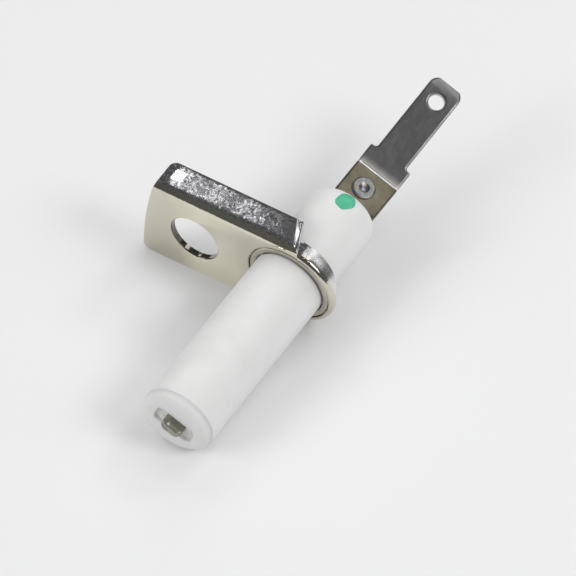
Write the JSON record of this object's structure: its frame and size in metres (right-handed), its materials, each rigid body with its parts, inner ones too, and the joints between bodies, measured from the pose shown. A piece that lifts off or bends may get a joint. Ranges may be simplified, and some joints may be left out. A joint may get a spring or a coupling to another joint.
{
  "type": "ignition electrode",
  "caption": "Ceramic spark electrode with a flat conductor, a pressed screw-on bracket and a push-on tab terminal.",
  "frame": {"origin": "on the ceramic's axis, in the plane of the bracket's front face", "axes": "+Y along the ceramic from the spark tip to the terminal; the bracket reaches to -X; its flange is on top, at +Z"},
  "size_m": [0.0174, 0.0371, 0.0084],
  "materials": {
    "alumina": "unglazed, fine matte",
    "strip_metal": "satin, slightly oxidised",
    "tab_metal": "satin",
    "rivet_metal": "satin",
    "cement": "matte, porous",
    "nickel_plate": "bright nickel over rough sheet",
    "collar_metal": "bright nickel"
  },
  "bodies": {
    "root": {"ceramic_insulator": "alumina", "electrode_strip": "strip_metal", "terminal_tab": "tab_metal", "terminal_rivet": "rivet_metal", "front_cement": "cement", "rear_cement": "cement", "mounting_bracket": "nickel_plate", "retaining_collar": "collar_metal"}
  },
  "joints": []
}
